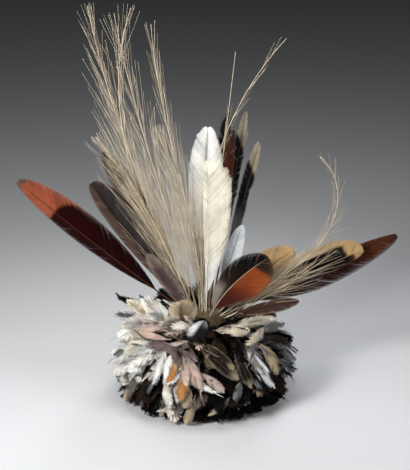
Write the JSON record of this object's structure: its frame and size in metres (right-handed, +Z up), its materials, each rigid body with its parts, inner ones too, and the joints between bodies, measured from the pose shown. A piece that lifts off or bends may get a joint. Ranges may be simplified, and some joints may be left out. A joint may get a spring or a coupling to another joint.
{
  "type": "feathered headdress",
  "caption": "Domed fibre cap, open below, covered with rows of short feathers, with a fan of long feathers and wispy plumes bound into its crown.",
  "frame": {"origin": "under the middle of the whole headdress, on the surface that it rests on", "axes": "+Z up towards the plumes, -Y towards the front of the fan, +X to the right seen from the front"},
  "size_m": [0.5156, 0.2682, 0.538],
  "materials": {
    "fibre": "matte plant fibre",
    "binding": "matte wound cord",
    "black_down": "soft matte feather",
    "mixed_down": "soft matte feather, white to mauve brown and black",
    "cream_down": "soft matte feather",
    "rufous": "satin feather, rust to dark maroon",
    "brown": "satin feather, greyish brown",
    "dark_brown": "satin feather",
    "tipped": "satin feather, dark with a tan tip",
    "white": "satin feather",
    "tan": "satin feather, ochre with a dark bar",
    "straw": "dry plume, pale straw"
  },
  "bodies": {
    "root": {"cap": "fibre", "feather_row_1": "black_down", "feather_row_2": "mixed_down", "feather_row_3": "mixed_down", "feather_row_4": "mixed_down", "feather_row_5": "cream_down", "quill_binding": "binding", "rufous_left": "rufous", "brown_left_1": "brown", "brown_left_2": "brown", "white_tall": "white", "white_broad": "white", "dark_1": "dark_brown", "dark_2": "dark_brown", "tipped_1": "tipped", "tipped_2": "tipped", "white_short": "white", "tan_broad": "tan", "rufous_right": "rufous", "tan_barred": "tan", "brown_right": "dark_brown", "rufous_front": "rufous", "straw_plume_1": "straw", "straw_plume_2": "straw", "straw_plume_3": "straw", "straw_plume_4": "straw", "straw_plume_5": "straw", "straw_plume_6": "straw", "straw_plume_7": "straw", "straw_plume_8": "straw", "straw_plume_9": "straw", "curled_plume": "straw"}
  },
  "joints": []
}
